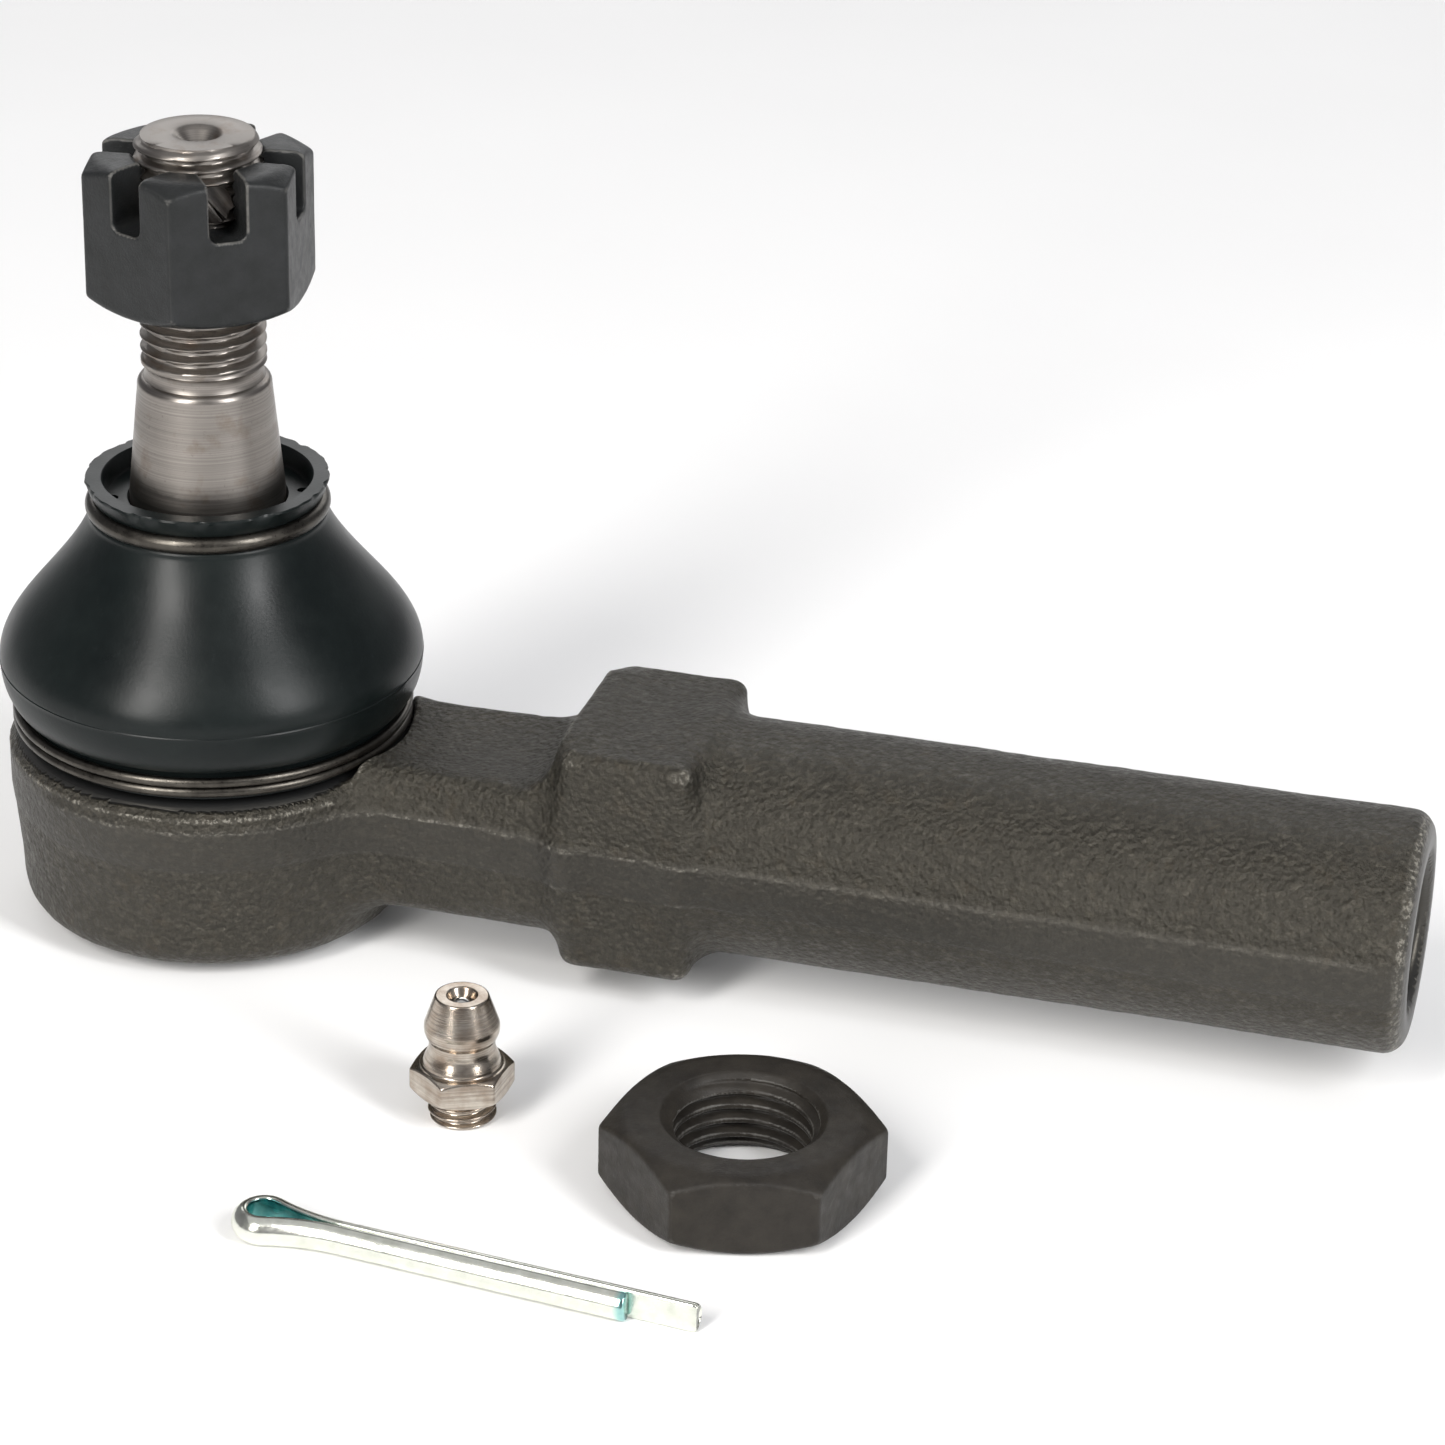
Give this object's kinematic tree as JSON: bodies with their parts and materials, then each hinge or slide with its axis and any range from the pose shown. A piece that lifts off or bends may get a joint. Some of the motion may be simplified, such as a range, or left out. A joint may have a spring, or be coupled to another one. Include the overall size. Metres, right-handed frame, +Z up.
{
  "type": "tie rod end",
  "caption": "Outer tie rod end: a forged housing with a threaded sleeve holds a sealed, tilting ball stud; castle nut, jam nut, cotter pin and grease fitting come with it.",
  "frame": {"origin": "centre of the ball, where the stud axis crosses the sleeve axis", "axes": "+Z up along the stud axis, +X along the threaded sleeve towards its open end"},
  "size_m": [0.1401, 0.0839, 0.0798],
  "materials": {
    "forged_steel": "satin",
    "machined_steel": "satin",
    "bearing_polymer": "matte",
    "spring_steel": "satin",
    "plate_steel": "satin",
    "boot_rubber": "satin",
    "ring_steel": "satin",
    "nut_black_oxide": "satin",
    "bright_zinc": "polished",
    "jam_nut_steel": "satin",
    "bright_nickel": "polished",
    "ball_steel": "polished"
  },
  "bodies": {
    "housing_body": {"housing": "forged_steel", "upper_bearing": "bearing_polymer", "preload_spring": "spring_steel", "cover_plate": "plate_steel", "boot_lower_ring": "ring_steel"},
    "boot_swivel": {"lower_bearing": "bearing_polymer", "dust_boot": "boot_rubber"},
    "boot_neck": {"boot_upper_ring": "ring_steel"},
    "stud": {"ball_stud": "machined_steel"},
    "nut": {"castle_nut": "nut_black_oxide"},
    "pin": {"cotter_pin": "bright_zinc"},
    "locknut": {"jam_nut": "jam_nut_steel"},
    "fitting": {"grease_fitting_body": "bright_nickel", "grease_check_spring": "spring_steel"},
    "check_ball": {"grease_check_ball": "ball_steel"}
  },
  "joints": [
    {"name": "tilt_direction", "type": "hinge", "parent": "housing_body", "child": "boot_swivel", "pos_m": [0, 0, 0], "axis": [0, 0, 1], "continuous": true},
    {"name": "stud_tilt", "type": "hinge", "parent": "boot_swivel", "child": "boot_neck", "pos_m": [0, 0, 0], "axis": [0, 1, 0], "range_deg": [-22, 22], "deforming": ["dust_boot"]},
    {"name": "stud_spin", "type": "hinge", "parent": "boot_neck", "child": "stud", "pos_m": [0, 0, 0], "axis": [0, 0, 1], "continuous": true},
    {"name": "castle_nut_travel", "type": "slide", "parent": "stud", "child": "nut", "axis": [0, 0, 1], "range_m": [-0.00625, 0.01625]},
    {"name": "cotter_pin_lift", "type": "slide", "parent": "housing_body", "child": "pin", "axis": [0, 0, 1], "range_m": [0, 0.1]},
    {"name": "jam_nut_lift", "type": "slide", "parent": "housing_body", "child": "locknut", "axis": [0, 0, 1], "range_m": [0, 0.1]},
    {"name": "grease_fitting_lift", "type": "slide", "parent": "housing_body", "child": "fitting", "axis": [0, 0, 1], "range_m": [0, 0.1]},
    {"name": "check_ball_travel", "type": "slide", "parent": "fitting", "child": "check_ball", "axis": [0, 0, -1], "range_m": [0, 0.0008], "stiffness_N_per_m": 40, "springref_m": -0.001, "deforming": ["grease_check_spring"]}
  ]
}
